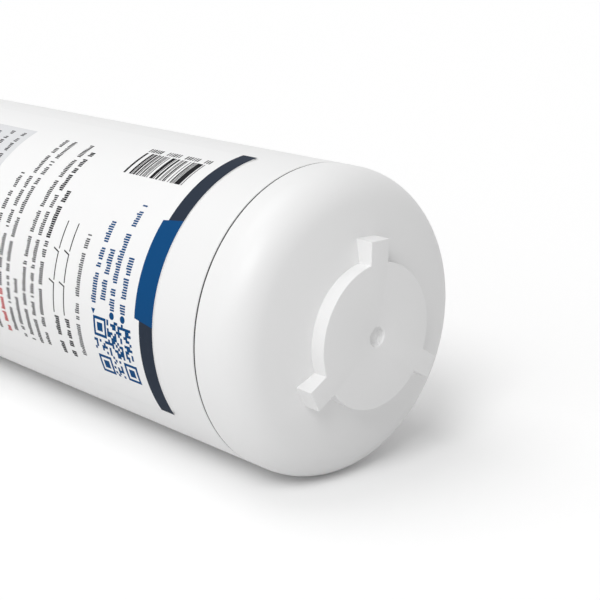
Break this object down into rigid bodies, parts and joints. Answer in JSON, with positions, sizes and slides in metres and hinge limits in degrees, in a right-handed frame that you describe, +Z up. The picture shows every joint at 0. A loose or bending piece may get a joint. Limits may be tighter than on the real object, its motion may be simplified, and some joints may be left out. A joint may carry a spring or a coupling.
{
  "type": "water filter cartridge",
  "caption": "White cylindrical quick-change water filter cartridge with a domed end, a lugged drive pad, a printed label and a bayonet neck with seals.",
  "frame": {"origin": "on the surface that the cartridge lies on, under the middle of its overall length", "axes": "+X along the cartridge axis towards the drive pad, +Z up, -Y towards the label's side"},
  "size_m": [0.3186, 0.0823, 0.082],
  "materials": {
    "shell": "white moulded polypropylene with a fine grain",
    "label_film": "white printed film",
    "seal": "black nitrile rubber",
    "element_cap": "natural moulded polypropylene",
    "carbon": "pressed activated carbon, black and matt",
    "wrap": "white non-woven",
    "net": "natural polyethylene net"
  },
  "bodies": {
    "root": {"barrel": "shell", "top_cap": "shell", "bottom_cap": "shell", "label": "label_film", "neck_seal": "seal", "nose_seal": "seal", "spigot_seal": "seal", "element_top_cap": "element_cap", "element_bottom_cap": "element_cap", "carbon_block": "carbon", "inner_wrap": "wrap", "outer_wrap": "wrap", "outer_net": "net"}
  },
  "joints": []
}
